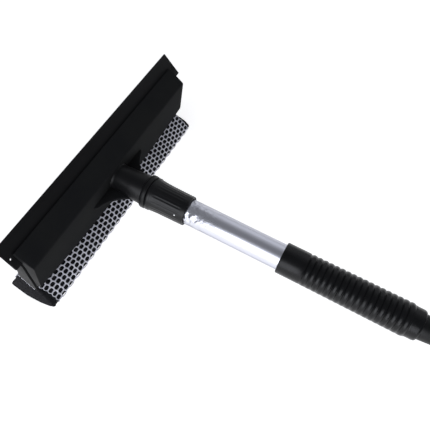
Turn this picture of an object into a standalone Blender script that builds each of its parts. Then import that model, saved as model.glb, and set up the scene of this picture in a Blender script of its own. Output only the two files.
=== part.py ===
"""Two-in-one window squeegee: rubber blade and netted sponge on a telescopic handle.

Every piece is modelled about the handle's axis, which runs along +Y from the head to the
grip, with +X along the head and +Z on the blade's side. Four empties on that axis carry the
four bodies: the handle, the lock collar, the slider and the head.
"""
import math

import bmesh
import bpy
from mathutils import Matrix, Vector

MM = 0.001
ROUND_SIDES = 32
HIDDEN_SIDES = 24
ARC_STEPS = 4

# The head, in millimetres about the handle's axis. Sections are (y, z) outlines.
HALF_HEAD = 100.0
HALF_CLAMP = 101.8
END_BEVEL = 0.8
LIP = (-12.8, 25.0)
RIDGE = (0.8, 15.2)
COVER_FOOT = (-2.2, -25.2)
COVER_INSIDE = (
    (-4.4, -25.1), (-4.6, -15.0), (-5.6, -4.0), (-6.1, 3.0), (-6.3, 8.0), (-6.9, 12.5),
    (-8.0, 15.6), (-6.65, 17.3), (-13.4, 24.15),
)
FOOT_RISE = 8.5
FOOT_STEPS = 12
CORNER_CUT = 2.5

# The rubber blade lies in the mouth between the two plates.
BLADE_TIP = (-21.2, 31.7)
BLADE_ROOT = (-7.3, 17.46)
BLADE_ROOT_THICK = 2.4
BLADE_TIP_THICK = 1.3
HALF_BLADE = 106.5
BLADE_HOLE_X = 103.6
BLADE_HOLE_UP = 7.74
BLADE_HOLE_RADIUS = 0.8

# The sponge and the net round it: (y, z, corner radius).
NET_OUTLINE = (
    (-19.4, -11.5, 1.5),
    (-35.4, -41.4, 3.5),
    (-21.0, -51.2, 14.0),
    (-6.6, -49.2, 16.0),
    (2.8, -44.6, 8.0),
    (9.1, -38.4, 2.5),
    (2.3, -31.7, 10.0),
    (-4.0, -28.3, 6.0),
    (-8.7, -25.2, 1.2),
)
NET_THICK = 1.0
SPONGE_GAP = 0.3
HALF_SPONGE = 100.8
HALF_NET = 98.4
NET_SEAM = 3.0

# The neck and its two webs.
NECK_END = 26.0
NECK_BORE = 8.3
NECK_BORE_START = 4.0
WEB_Z = (-4.6, -2.2)
WEB_FOOT = (31.0, 1.6)
WEB_TOP = (10.5, 19.0)
WEB_SAG = 3.0
WEB_STEPS = 8

# Screws that draw the lower plate to the cover.
SCREW_PITCH = 40.0
SCREW_COUNT = 5
SCREW_Z = -2.0
SCREW_START = -11.6
SCREW_END = -2.2
RIB = 2.5

# The telescopic handle, as stations along +Y and radii.
INNER_RADIUS = 8.0
INNER_BORE = 7.0
INNER_START = 4.5
INNER_END = 205.0
OUTER_RADIUS = 10.0
OUTER_BORE = 9.0
OUTER_START = 40.4
OUTER_END = 244.0
GRIP_START = 140.9
GRIP_END = 247.0
GRIP_BORE = 10.3
RIB_COUNT = 18
RIB_START = 160.3
RIB_PITCH = 4.35
RIB_DEPTH = 0.9
RIB_SHAPE = ((0.0, 1.0), (0.22, 0.2), (0.5, 0.0), (0.78, 0.2))
SPINE_HALF_ANGLE = math.radians(50.0)
SPINE_BLEND = math.radians(25.0)
CAP_END = 280.0
PIN_STATION = 56.5
PIN_ANGLE = math.radians(23.0)
PIN_FOOT = 10.6
PIN_HEAD = 12.3
PIN_RADIUS = 0.85
PIN_HOLE_RADIUS = 1.2
CAP_PIN_STATION = 236.0
HANG_HOLE_STATION = 269.0


def clear_scene():
    for obj in list(bpy.data.objects):
        bpy.data.objects.remove(obj, do_unlink=True)


def finish_material(name, colour, roughness, metallic=0.0):
    material = bpy.data.materials.new(name)
    material.use_nodes = True
    shader = material.node_tree.nodes["Principled BSDF"]
    shader.inputs["Base Color"].default_value = (*colour, 1.0)
    shader.inputs["Roughness"].default_value = roughness
    shader.inputs["Metallic"].default_value = metallic
    return material


def body_frame(name, parent=None):
    empty = bpy.data.objects.new(name, None)
    bpy.context.scene.collection.objects.link(empty)
    empty.parent = parent
    return empty


def new_object(name, mesh_data, material, parent):
    bmesh.ops.recalc_face_normals(mesh_data, faces=mesh_data.faces)
    mesh = bpy.data.meshes.new(name)
    mesh_data.to_mesh(mesh)
    mesh_data.free()
    mesh.shade_smooth()
    mesh.set_sharp_from_angle(angle=math.radians(35.0))
    if material:
        mesh.materials.append(material)
    obj = bpy.data.objects.new(name, mesh)
    bpy.context.scene.collection.objects.link(obj)
    obj.parent = parent
    return obj


def point(x, y, z):
    return Vector((x, y, z)) * MM


def rounded(corners, steps=ARC_STEPS):
    """Turns (y, z, radius) corners into an outline with an arc at each corner."""
    outline = []
    count = len(corners)
    for index, (y, z, radius) in enumerate(corners):
        here = Vector((y, z))
        back = (Vector(corners[index - 1][:2]) - here).normalized()
        ahead = (Vector(corners[(index + 1) % count][:2]) - here).normalized()
        half = back.angle(ahead) / 2.0
        centre = here + (back + ahead).normalized() * radius / math.sin(half)
        start = here + back * radius / math.tan(half) - centre
        end = here + ahead * radius / math.tan(half) - centre
        turn = start.angle_signed(end)
        for step in range(steps + 1):
            spoke = start.copy()
            spoke.rotate(Matrix.Rotation(-turn * step / steps, 2))
            outline.append(tuple(centre + spoke))
    return outline


def inset(corners, distance):
    """Moves every side of a rounded outline inwards by one distance."""
    count = len(corners)
    middle = Vector((sum(c[0] for c in corners), sum(c[1] for c in corners))) / count
    sides = []
    for index in range(count):
        start = Vector(corners[index][:2])
        along = (Vector(corners[(index + 1) % count][:2]) - start).normalized()
        normal = Vector((-along.y, along.x))
        if normal.dot(middle - start) < 0:
            normal.negate()
        sides.append((start + normal * distance, along, normal))
    moved = []
    for index in range(count):
        start_a, along_a, _ = sides[index - 1]
        start_b, _, normal_b = sides[index]
        reach = (start_b - start_a).dot(normal_b) / along_a.dot(normal_b)
        corner = start_a + along_a * reach
        moved.append((corner.x, corner.y, max(corners[index][2] - distance, 0.4)))
    return moved


def prism(name, section, half_length, material, parent, bevelled=()):
    """Extrudes a (y, z) section along X. Points listed in bevelled reach END_BEVEL further."""
    mesh_data = bmesh.new()
    rings = []
    for side in (-1.0, 1.0):
        ring = []
        for index, (y, z) in enumerate(section):
            reach = half_length + (END_BEVEL if index in bevelled else 0.0)
            ring.append(mesh_data.verts.new(point(side * reach, y, z)))
        rings.append(ring)
    join_rings(mesh_data, rings)
    mesh_data.faces.new(rings[0])
    mesh_data.faces.new(rings[1])
    return new_object(name, mesh_data, material, parent)


def join_rings(mesh_data, rings, closed=False):
    pairs = list(zip(rings, rings[1:]))
    if closed:
        pairs.append((rings[-1], rings[0]))
    for first, second in pairs:
        count = len(first)
        for index in range(count):
            after = (index + 1) % count
            mesh_data.faces.new((first[index], first[after], second[after], second[index]))


def turned(name, profile, material, parent, sides=ROUND_SIDES, hollow=True):
    """Turns a (station, radius) profile about the handle's axis.

    A hollow profile is a closed loop. A solid one runs from end to end and is capped.
    """
    mesh_data = bmesh.new()
    rings = []
    for station, radius in profile:
        ring = []
        for side in range(sides):
            angle = 2.0 * math.pi * side / sides
            ring.append(mesh_data.verts.new(
                point(radius * math.cos(angle), station, radius * math.sin(angle))))
        rings.append(ring)
    join_rings(mesh_data, rings, closed=hollow)
    if not hollow:
        mesh_data.faces.new(rings[0])
        mesh_data.faces.new(rings[-1])
    return new_object(name, mesh_data, material, parent)


def rod(name, start, end, radii, material, parent, sides=16):
    """A stepped rod: radii are (share of the length, radius) pairs from start to end."""
    mesh_data = bmesh.new()
    start = Vector(start)
    axis = Vector(end) - start
    turn = axis.to_track_quat("Z", "Y").to_matrix()
    rings = []
    for share, radius in radii:
        ring = []
        for side in range(sides):
            angle = 2.0 * math.pi * side / sides
            spoke = turn @ Vector((radius * math.cos(angle), radius * math.sin(angle), 0.0))
            ring.append(mesh_data.verts.new((start + axis * share + spoke) * MM))
        rings.append(ring)
    join_rings(mesh_data, rings)
    mesh_data.faces.new(rings[0])
    mesh_data.faces.new(rings[-1])
    return new_object(name, mesh_data, material, parent)


def block(name, corner_a, corner_b, parent):
    mesh_data = bmesh.new()
    bmesh.ops.create_cube(mesh_data, size=1.0)
    low = point(*corner_a)
    high = point(*corner_b)
    bmesh.ops.scale(mesh_data, vec=high - low, verts=mesh_data.verts)
    bmesh.ops.translate(mesh_data, vec=(high + low) / 2.0, verts=mesh_data.verts)
    return new_object(name, mesh_data, None, parent)


def apply_tool(target, tool, operation):
    """Joins or cuts with a hidden tool object."""
    tool.hide_render = True
    tool.display_type = "WIRE"
    modifier = target.modifiers.new(tool.name, "BOOLEAN")
    modifier.operation = operation
    modifier.solver = "EXACT"
    modifier.object = tool


def cover_section():
    """The bent cover: thin over the rubber, and thick behind the ridge where it is screwed."""
    return [
        LIP,
        (RIDGE[0] - 1.6, RIDGE[1] + 1.15),
        (RIDGE[0] - 0.3, RIDGE[1] - 0.4),
        (RIDGE[0] - 0.15, RIDGE[1] - 2.2),
        COVER_FOOT,
        *COVER_INSIDE,
    ]


def make_cover(material, parent):
    section = cover_section()
    inside = range(len(section) - len(COVER_INSIDE), len(section))
    cover = prism("head_cover", section, HALF_HEAD, material, parent, bevelled=inside)
    neck = turned("neck_form", [
        (-3.0, 10.0), (-0.8, 11.6), (0.6, 10.9), (3.0, 10.4), (NECK_END, 12.0),
    ], None, parent, hollow=False)
    apply_tool(cover, neck, "UNION")
    for side in (-1.0, 1.0):
        apply_tool(cover, make_web(side, parent), "UNION")
    bore = turned("neck_bore_form", [
        (NECK_BORE_START, NECK_BORE), (23.0, NECK_BORE), (23.0, 10.2), (NECK_END + 2.0, 10.2),
    ], None, parent, sides=HIDDEN_SIDES, hollow=False)
    apply_tool(cover, bore, "DIFFERENCE")
    apply_tool(cover, foot_cutter(parent), "DIFFERENCE")
    for index, x in enumerate(screw_places()):
        hole = rod(f"cover_hole_{index}", (x, -8.0, SCREW_Z), (x, SCREW_END + 0.4, SCREW_Z),
                   [(0.0, 1.6), (1.0, 1.6)], None, parent, sides=12)
        apply_tool(cover, hole, "DIFFERENCE")
    neck_hole = rod("neck_screw_hole", (0.0, 14.0, -16.0), (0.0, 14.0, -6.0),
                    [(0.0, 3.0), (0.45, 3.0), (0.45, 1.6), (1.0, 1.6)], None, parent)
    apply_tool(cover, neck_hole, "DIFFERENCE")
    return cover


def make_web(side, parent):
    """A flat gusset with a hollow front edge, from the facet to the neck."""
    mesh_data = bmesh.new()
    foot = Vector(WEB_FOOT)
    span = Vector(WEB_TOP) - foot
    inward = Vector((span.y, -span.x)).normalized() * -WEB_SAG
    outline = [(side * 5.0, -1.6), (side * (foot.x + 2.5), -1.6)]
    for step in range(WEB_STEPS + 1):
        share = step / WEB_STEPS
        place = foot + span * share + inward * 4.0 * share * (1.0 - share)
        outline.append((side * place.x, place.y))
    outline.append((side * 5.0, WEB_TOP[1]))
    rings = [[mesh_data.verts.new(point(x, y, z)) for x, y in outline] for z in WEB_Z]
    join_rings(mesh_data, rings)
    mesh_data.faces.new(rings[0])
    mesh_data.faces.new(rings[1])
    return new_object(f"web_form_{'left' if side > 0 else 'right'}", mesh_data, None, parent)


def foot_cutter(parent):
    """Arches the cover's lower edge, which is deepest in the middle, and trims its corners."""
    mesh_data = bmesh.new()
    half = HALF_HEAD + END_BEVEL + 2.0
    edge = []
    for step in range(FOOT_STEPS + 1):
        x = HALF_HEAD * (2.0 * step / FOOT_STEPS - 1.0)
        edge.append((x, COVER_FOOT[1] - 0.01 + FOOT_RISE * (x / HALF_HEAD) ** 2))
    corner = COVER_FOOT[1] + FOOT_RISE + CORNER_CUT
    floor = COVER_FOOT[1] - 3.0
    edge = [(-half, corner), *edge, (half, corner), (half, floor), (-half, floor)]
    rings = [[mesh_data.verts.new(point(x, y, z)) for x, z in edge] for y in (-8.0, 2.0)]
    join_rings(mesh_data, rings)
    mesh_data.faces.new(rings[0])
    mesh_data.faces.new(rings[1])
    return new_object("foot_cut", mesh_data, None, parent)


def screw_places():
    middle = (SCREW_COUNT - 1) / 2.0
    return [(index - middle) * SCREW_PITCH for index in range(SCREW_COUNT)]


def make_clamp_plate(material, parent):
    """The lower plate: a wedge that pinches the rubber and backs the sponge."""
    section = [
        (-14.4, 21.3), (-15.8, 17.0), (-15.4, 11.5), (-18.2, -12.0), (-8.9, -24.0),
        (-5.9, -22.5), (-6.0, -15.0), (-7.0, -4.0), (-7.5, 3.0), (-7.7, 8.0), (-8.3, 12.6),
        (-9.2, 14.6), (-9.5, 15.3),
    ]
    plate = prism("clamp_plate", section, HALF_CLAMP, material, parent)
    pocket = [(-9.7, 9.0), (-12.9, 9.0), (-15.6, -12.0), (-19.6, -15.1), (-11.8, -25.1),
              (-8.5, -22.0)]
    for index, x in enumerate(screw_places()):
        half = (SCREW_PITCH - RIB) / 2.0
        cutter = prism(f"pocket_{index}", pocket, half, None, parent)
        cutter.location = (x * MM, 0.0, 0.0)
        apply_tool(plate, cutter, "DIFFERENCE")
        hole = rod(f"plate_hole_{index}", (x, SCREW_START, SCREW_Z), (x, -5.0, SCREW_Z),
                   [(0.0, 1.7), (1.0, 1.7)], None, parent, sides=12)
        apply_tool(plate, hole, "DIFFERENCE")
    return plate


def make_clamp_screws(material, parent):
    for index, x in enumerate(screw_places()):
        rod(f"clamp_screw_{index + 1}", (x, SCREW_START, SCREW_Z), (x, SCREW_END, SCREW_Z),
            [(0.0, 2.2), (0.05, 2.6), (0.21, 2.6), (0.21, 1.3), (0.9, 1.3), (1.0, 0.5)],
            material, parent, sides=12)


def make_blade(material, parent):
    along = (Vector(BLADE_TIP) - Vector(BLADE_ROOT)).normalized()
    under = Vector((-along.y, along.x))
    section = [
        BLADE_TIP,
        BLADE_ROOT,
        tuple(Vector(BLADE_ROOT) + under * BLADE_ROOT_THICK),
        tuple(Vector(BLADE_TIP) + under * BLADE_TIP_THICK),
    ]
    blade = prism("rubber_blade", section, HALF_BLADE, material, parent)
    for side in (-1.0, 1.0):
        middle = Vector(BLADE_ROOT) + along * BLADE_HOLE_UP
        start = middle - under * 3.0
        end = middle + under * 5.0
        hole = rod(f"blade_hole_{'left' if side > 0 else 'right'}",
                   (side * BLADE_HOLE_X, *start), (side * BLADE_HOLE_X, *end),
                   [(0.0, BLADE_HOLE_RADIUS), (1.0, BLADE_HOLE_RADIUS)], None, parent, sides=12)
        apply_tool(blade, hole, "DIFFERENCE")
    return blade


def make_sponge(material, parent):
    corners = inset(NET_OUTLINE, NET_THICK + SPONGE_GAP)
    return prism("sponge", rounded(corners), HALF_SPONGE, material, parent)


def make_net(material, parent):
    """The net's skin: one strip round the sponge, open at the seam on its back."""
    outer = rounded(NET_OUTLINE)
    inner = rounded(inset(NET_OUTLINE, NET_THICK))
    seam_a, seam_b = seam_points(NET_OUTLINE)
    inner_a, inner_b = seam_points(inset(NET_OUTLINE, NET_THICK))
    section = [seam_a, *outer, seam_b, inner_b, *reversed(inner), inner_a]
    return prism("sponge_net", section, HALF_NET, material, parent)


def seam_points(corners):
    """Two points, NET_SEAM apart, in the middle of the side that lies on the plate."""
    last = Vector(corners[-1][:2])
    first = Vector(corners[0][:2])
    middle = (last + first) / 2.0
    along = (first - last).normalized()
    return tuple(middle + along * NET_SEAM / 2.0), tuple(middle - along * NET_SEAM / 2.0)


def make_neck_parts(plastic, aluminium, steel, parent):
    turned("neck_ring", [
        (23.4, 8.35), (23.4, 9.9), (26.4, 9.9), (26.4, 12.9), (27.0, 13.5), (29.9, 13.5),
        (30.6, 12.9), (30.6, 8.35),
    ], plastic, parent)
    tube = turned("inner_tube", [
        (INNER_START, INNER_BORE), (INNER_START, INNER_RADIUS),
        (INNER_END, INNER_RADIUS), (INNER_END, INNER_BORE),
    ], aluminium, parent)
    hole = rod("tube_screw_hole", (0.0, 14.0, -12.0), (0.0, 14.0, -4.0),
               [(0.0, 1.7), (1.0, 1.7)], None, parent, sides=12)
    apply_tool(tube, hole, "DIFFERENCE")
    rod("neck_screw", (0.0, 14.0, -13.2), (0.0, 14.0, -5.0),
        [(0.0, 2.2), (0.06, 2.6), (0.2, 2.6), (0.2, 1.3), (0.9, 1.3), (1.0, 0.5)],
        steel, parent, sides=12)


def make_slider(plastic, rubber, parent):
    turned("guide_plug", [
        (INNER_END - 6.0, 6.2), (INNER_END - 5.0, 6.7), (INNER_END + 0.3, 6.7),
        (INNER_END + 0.3, 8.6), (INNER_END + 3.0, 8.6), (INNER_END + 3.0, 7.2),
        (INNER_END + 5.4, 7.2), (INNER_END + 5.4, 8.6), (INNER_END + 9.0, 8.6),
        (INNER_END + 9.6, 8.0),
    ], plastic, parent, sides=HIDDEN_SIDES, hollow=False)
    turned("plug_ring", [
        (INNER_END + 3.3, 7.6), (INNER_END + 3.3, 8.4), (INNER_END + 4.2, 8.65),
        (INNER_END + 5.1, 8.4), (INNER_END + 5.1, 7.6),
    ], rubber, parent, sides=HIDDEN_SIDES)


def make_collar(plastic, steel, parent):
    sleeve = turned("lock_sleeve", [
        (31.0, 8.45), (31.0, 12.7), (31.5, 13.2), (33.6, 13.2), (34.4, 12.7), (42.0, 12.3),
        (62.6, 11.9), (63.3, 11.65), (63.3, 11.3), (39.5, 11.3), (33.3, 9.35), (33.3, 8.45),
    ], plastic, parent)
    spoke = Vector((math.cos(PIN_ANGLE), 0.0, math.sin(PIN_ANGLE)))
    base = Vector((0.0, PIN_STATION, 0.0))
    hole = rod("sleeve_pin_hole", base + spoke * (PIN_FOOT - 1.6), base + spoke * (PIN_HEAD + 2.7),
               [(0.0, PIN_HOLE_RADIUS), (1.0, PIN_HOLE_RADIUS)], None, parent, sides=12)
    apply_tool(sleeve, hole, "DIFFERENCE")
    rod("sleeve_pin", base + spoke * PIN_FOOT, base + spoke * PIN_HEAD,
        [(0.0, PIN_RADIUS), (0.85, PIN_RADIUS), (1.0, 0.5)], steel, parent, sides=12)


def make_tube_mouth(plastic, parent):
    bush = turned("tube_bush", [
        (38.9, 8.45), (38.9, 11.0), (62.6, 11.0), (62.6, 10.3), (40.1, 10.3), (40.1, 8.45),
    ], plastic, parent)
    apply_tool(bush, pin_slot(parent), "DIFFERENCE")
    collet = turned("lock_collet", [
        (34.1, 8.3), (34.1, 9.2), (38.5, 10.6), (38.5, 8.3),
    ], plastic, parent)
    slot = block("collet_slot", (-0.8, 33.0, -12.0), (0.8, 39.5, -7.0), parent)
    apply_tool(collet, slot, "DIFFERENCE")


def pin_slot(parent):
    """The slot that the sleeve's pin runs in: a quarter turn, with room at both ends."""
    mesh_data = bmesh.new()
    rings = []
    steps = 12
    start = PIN_ANGLE + math.radians(7.0)
    sweep = math.radians(-104.0)
    for step in range(steps + 1):
        angle = start + sweep * step / steps
        spoke = Vector((math.cos(angle), 0.0, math.sin(angle)))
        ring = []
        for radius, offset in ((10.15, -1.2), (11.6, -1.2), (11.6, 1.2), (10.15, 1.2)):
            place = spoke * radius + Vector((0.0, PIN_STATION + offset, 0.0))
            ring.append(mesh_data.verts.new(place * MM))
        rings.append(ring)
    join_rings(mesh_data, rings)
    mesh_data.faces.new(rings[0])
    mesh_data.faces.new(rings[-1])
    return new_object("pin_slot_form", mesh_data, None, parent)


def make_outer_tube(aluminium, parent):
    tube = turned("outer_tube", [
        (OUTER_START, OUTER_BORE), (OUTER_START, OUTER_RADIUS),
        (OUTER_END, OUTER_RADIUS), (OUTER_END, OUTER_BORE),
    ], aluminium, parent)
    hole = rod("tube_pin_hole", (-12.0, CAP_PIN_STATION, 0.0), (12.0, CAP_PIN_STATION, 0.0),
               [(0.0, 1.6), (1.0, 1.6)], None, parent, sides=12)
    apply_tool(tube, hole, "DIFFERENCE")


def make_grip(rubber, parent):
    """The ribbed grip. Its grooves run out underneath, where a smooth spine joins the ribs."""
    bore = [(GRIP_END, GRIP_BORE, 0.0), (GRIP_START, GRIP_BORE, 0.0)]
    collar = [(GRIP_START, 11.8, 0.0), (GRIP_START + 0.5, 12.1, 0.0)]
    ribs = []
    for index in range(RIB_COUNT):
        start = RIB_START + index * RIB_PITCH
        crest = 12.2 + 0.4 * index / (RIB_COUNT - 1)
        ribs += [(start + share * RIB_PITCH, crest, depth) for share, depth in RIB_SHAPE]
    last_groove = RIB_START + RIB_COUNT * RIB_PITCH
    tail = [(last_groove, 12.5, 1.0), (last_groove + 0.8, 11.7, 0.0), (GRIP_END - 1.6, 11.65, 0.0),
            (GRIP_END, 10.8, 0.0)]
    mesh_data = bmesh.new()
    rings = []
    for station, radius, groove in [*bore, *collar, *ribs, *tail]:
        ring = []
        for side in range(HIDDEN_SIDES):
            angle = 2.0 * math.pi * side / HIDDEN_SIDES
            reach = radius - groove * RIB_DEPTH * rib_strength(angle)
            ring.append(mesh_data.verts.new(
                point(reach * math.cos(angle), station, reach * math.sin(angle))))
        rings.append(ring)
    join_rings(mesh_data, rings, closed=True)
    return new_object("grip", mesh_data, rubber, parent)


def rib_strength(angle):
    """One over the top of the grip, easing to nothing at the spine underneath."""
    from_below = abs((angle + math.pi / 2.0 + math.pi) % (2.0 * math.pi) - math.pi)
    share = (from_below - SPINE_HALF_ANGLE) / SPINE_BLEND
    return min(max(share, 0.0), 1.0)


def make_grip_end(plastic, steel, parent):
    cap = turned("end_cap", [
        (228.0, 7.9), (229.0, 8.6), (OUTER_END + 0.3, 8.6), (OUTER_END + 0.3, 9.7),
        (249.0, 9.6), (257.0, 8.9), (268.0, 8.2), (CAP_END - 3.0, 7.6), (CAP_END, 6.4),
    ], plastic, parent, sides=ROUND_SIDES, hollow=False)
    pin_hole = rod("cap_pin_hole", (-12.0, CAP_PIN_STATION, 0.0), (12.0, CAP_PIN_STATION, 0.0),
                   [(0.0, 1.6), (1.0, 1.6)], None, parent, sides=12)
    apply_tool(cap, pin_hole, "DIFFERENCE")
    hang_hole = rod("hang_hole_form", (-12.0, HANG_HOLE_STATION, 0.0),
                    (12.0, HANG_HOLE_STATION, 0.0), [(0.0, 3.0), (1.0, 3.0)], None, parent)
    apply_tool(cap, hang_hole, "DIFFERENCE")
    rod("cap_pin", (-9.7, CAP_PIN_STATION, 0.0), (9.7, CAP_PIN_STATION, 0.0),
        [(0.0, 0.9), (0.03, 1.25), (0.97, 1.25), (1.0, 0.9)], steel, parent, sides=12)


def bottom_centre():
    """The bottom centre of the part's box: the net is both its lowest and its front end."""
    net = rounded(NET_OUTLINE)
    front = min(y for y, _ in net)
    lowest = min(z for _, z in net)
    return point(0.0, (front + CAP_END) / 2.0, lowest)


def main():
    clear_scene()
    black = finish_material("black_plastic", (0.012, 0.013, 0.014), 0.42)
    rubber = finish_material("black_rubber", (0.010, 0.010, 0.011), 0.6)
    foam = finish_material("dark_foam", (0.020, 0.020, 0.021), 0.95)
    thread = finish_material("grey_net", (0.36, 0.36, 0.40), 0.7)
    aluminium = finish_material("satin_aluminium", (0.78, 0.79, 0.81), 0.3, 1.0)
    steel = finish_material("steel", (0.6, 0.6, 0.6), 0.3, 1.0)

    handle = body_frame("handle_frame")
    handle.location = bottom_centre() * -1.0
    collar = body_frame("collar_axis", handle)
    slider = body_frame("slider_axis", handle)
    head = body_frame("head_axis", slider)

    make_cover(black, head)
    make_clamp_plate(black, head)
    make_clamp_screws(steel, head)
    make_blade(rubber, head)
    make_sponge(foam, head)
    make_net(thread, head)
    make_neck_parts(black, aluminium, steel, head)
    make_slider(black, rubber, slider)
    make_collar(black, steel, collar)
    make_tube_mouth(black, handle)
    make_outer_tube(aluminium, handle)
    make_grip(rubber, handle)
    make_grip_end(black, steel, handle)


main()
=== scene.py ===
import math

import bmesh
import bpy
from mathutils import Matrix, Vector, noise


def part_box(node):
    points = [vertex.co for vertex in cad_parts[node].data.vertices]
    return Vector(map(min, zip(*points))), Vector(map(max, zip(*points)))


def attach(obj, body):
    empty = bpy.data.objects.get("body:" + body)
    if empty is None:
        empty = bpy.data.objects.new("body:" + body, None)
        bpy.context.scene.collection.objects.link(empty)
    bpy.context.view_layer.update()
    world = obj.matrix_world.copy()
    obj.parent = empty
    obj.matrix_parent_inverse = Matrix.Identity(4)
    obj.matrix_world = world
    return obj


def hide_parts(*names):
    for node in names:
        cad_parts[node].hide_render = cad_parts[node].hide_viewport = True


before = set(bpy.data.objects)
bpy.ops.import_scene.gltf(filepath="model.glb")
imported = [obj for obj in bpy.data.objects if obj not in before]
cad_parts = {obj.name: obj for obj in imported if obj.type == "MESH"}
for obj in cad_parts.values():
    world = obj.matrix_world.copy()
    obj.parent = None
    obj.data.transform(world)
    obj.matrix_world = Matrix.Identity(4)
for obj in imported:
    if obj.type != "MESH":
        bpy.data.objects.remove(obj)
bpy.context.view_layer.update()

MM = 0.001
FULL_TURN = 2.0 * math.pi
ROUND_SIDES = 96
SHARP_ANGLE = math.radians(38.0)
GRIP_SHARP_ANGLE = math.radians(60.0)
BEVEL_ANGLE = math.radians(28.0)

# The tube's own box gives the handle's axis, and its front end lies at this station.
TUBE_FRONT = 40.4
TUBE_LOW, TUBE_HIGH = (Vector(corner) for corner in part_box("outer_tube"))
AXIS = Vector((0.0, TUBE_LOW.y - TUBE_FRONT * MM, (TUBE_LOW.z + TUBE_HIGH.z) / 2.0))
TUBE_REAR = (TUBE_HIGH.y - AXIS.y) / MM

# The head's cover, as (y, z) places, with its inner corners as (y, z, corner radius).
HALF_HEAD = 100.0
END_BEVEL = 0.8
LIP = (-12.8, 25.0)
LIP_ROUND = 0.2
RIDGE = (0.8, 15.2)
RIDGE_ROUND = 2.4
COVER_FOOT = (-2.2, -25.2)
FOOT_INSIDE = -4.5
FOOT_ROUND = 0.4
COVER_INSIDE = (
    (-5.6, -4.0, 3.0), (-6.1, 3.0, 3.0), (-6.3, 8.0, 3.0), (-6.9, 12.5, 2.0),
    (-8.0, 15.6, 0.3), (-6.65, 17.3, 0.3), (-13.4, 24.15, 0.2),
)
FOOT_RISE = 8.5
COVER_STEPS = 40
# Faces turned more than this along the head take the end plastic with its painted light.
END_FACING = 0.6

# The neck, and the webs beside it as (x, y) places.
NECK_FOOT_RADIUS = 13.2
NECK_BORE = 8.3
FILLET_START = -1.4
FILLET_LENGTH = 3.4
FILLET_DEPTH = 2.7
FILLET_STEPS = 8
WEB_Z = (-4.6, -2.2)
WEB_FOOT = (31.0, 1.6)
WEB_TOP = (10.5, 19.0)
WEB_ROOT = (9.0, -1.0)
WEB_TOE = 2.5
WEB_SAG = 3.0
WEB_STEPS = 16

# Widths of the soft edges.
COVER_EDGE = 0.45
WEB_EDGE = 0.5
CLAMP_EDGE = 0.6
BLADE_EDGE = 0.2

# The net's outline as (y, z, corner radius). Its first and last corners lie on the clamp
# plate.
NET_OUTLINE = (
    (-19.4, -11.5, 1.5),
    (-35.4, -41.4, 3.5),
    (-21.0, -51.2, 14.0),
    (-6.6, -49.2, 16.0),
    (2.8, -44.6, 8.0),
    (9.1, -38.4, 2.5),
    (2.3, -31.7, 10.0),
    (-4.0, -28.3, 6.0),
    (-8.7, -25.2, 1.2),
)
HALF_SPONGE = 100.8
HALF_NET = 98.3

# The net's cells lie in columns round the sponge, each shifted half a cell from the last.
COLUMN_PITCH = 4.57
COLUMN_PHASE = 8.3
CELL_PITCH = 3.8
FIRST_COLUMN, LAST_COLUMN = -23, 19
HOLE_HALF = (2.25, 1.73)
HOLE_SHARE = 0.9
CELL_RINGS = ((0.0, 1.0), (0.55, 0.75), (1.0, 0.0))
THREAD_THICK = 0.36
THREAD_CROWN = 0.3
NET_SINK = 0.75
NET_SEAM = 2.0
WELD_DISTANCE = 0.02
END_SLIP = 0.022
SLIP_REACH = 20.0

# The foam under the net.
FOAM_SINK = 1.35
FOAM_PUFF = 0.5
PUFF_REACH = 0.85
RIM_PUFF = 0.4
FOAM_STEP = 1.1
FOAM_RIM = 1.6
FOAM_UNEVEN = 0.22
UNEVEN_SCALE = 0.35
CUT_ROUGH = 0.45
CUT_SCALE = 0.8
CUT_SPREAD = 7.0
CUT_SINK = 0.4
END_RINGS = 18
END_BULGE = 2.3
BULGE_FROM = 92.0
BULGE_DEPTH = 20.0

# The hem: a knotty thread along the clamp plate's edge, on the foam's end.
HEM_RADIUS = 0.28
HEM_THIN = 0.7
HEM_KNOT = 0.35
HEM_STITCH = 1.7
STITCH_STEPS = 6.0
HEM_SIDES = 8
HEM_DEPTH = 3.0
HEM_SWING = 0.2
HEM_WANDER = 0.5
HEM_LIFT = 0.9
HEM_DIP = 0.1
HEM_SINK = 0.05
HEM_SPAN = (1.6, 19.4)

# The lock sleeve's body between its collar and its rear rim, with its flutes.
SLEEVE_START = 34.4
SLEEVE_LENGTH = 28.0
SLEEVE_STEPS = 26
SLEEVE_RADIUS = 12.7
SLEEVE_SKIN = 11.6
SLEEVE_WAIST = 0.4
WAIST_LENGTH = 8.0
SLEEVE_TAPER = 0.4
FLUTE_COUNT = 30.0
FLUTE_DEPTH = 0.16
FLUTE_START = 35.5
FLUTE_END = 60.5
FLUTE_EASE = 2.5
PIN_STATION = 56.5
PIN_ANGLE = math.radians(23.0)
PIN_FOOT = 10.6
PIN_HEAD = 12.3

# The two tubes.
OUTER_RADIUS = 10.0
INNER_RADIUS = 8.0
TUBE_WALL = 1.0
RIM_EASE = 0.1

# The grip.
GRIP_START = 140.9
GRIP_END = 247.0
GRIP_BORE = 10.3
GRIP_SKIN = 11.0
COLLAR_RADIUS = 12.1
TAIL_RADIUS = 11.65
RIB_RADIUS = 12.2
RIB_GROWTH = 0.4
RIB_COUNT = 18
RIB_START = 160.3
RIB_PITCH = 4.35
RIB_DEPTH = 0.9
RIB_STEPS = 10
SPINE_HALF_ANGLE = math.radians(50.0)
SPINE_BLEND = math.radians(25.0)

# The end cap and the screw under the neck.
CAP_END = 280.0
HANG_HOLE_STATION = 269.0
HOLE_REACH = 10.0
NECK_SCREW_STATION = 14.0
NECK_SCREW_HEAD = -13.2
NECK_SCREW_TIP = -5.0
RECESS_DEPTH = 0.7

# The tube's skin is uneven behind the sleeve, between these places along the world's Y.
HANDLED_FROM = -0.052
HANDLED_TO = -0.030

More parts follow.
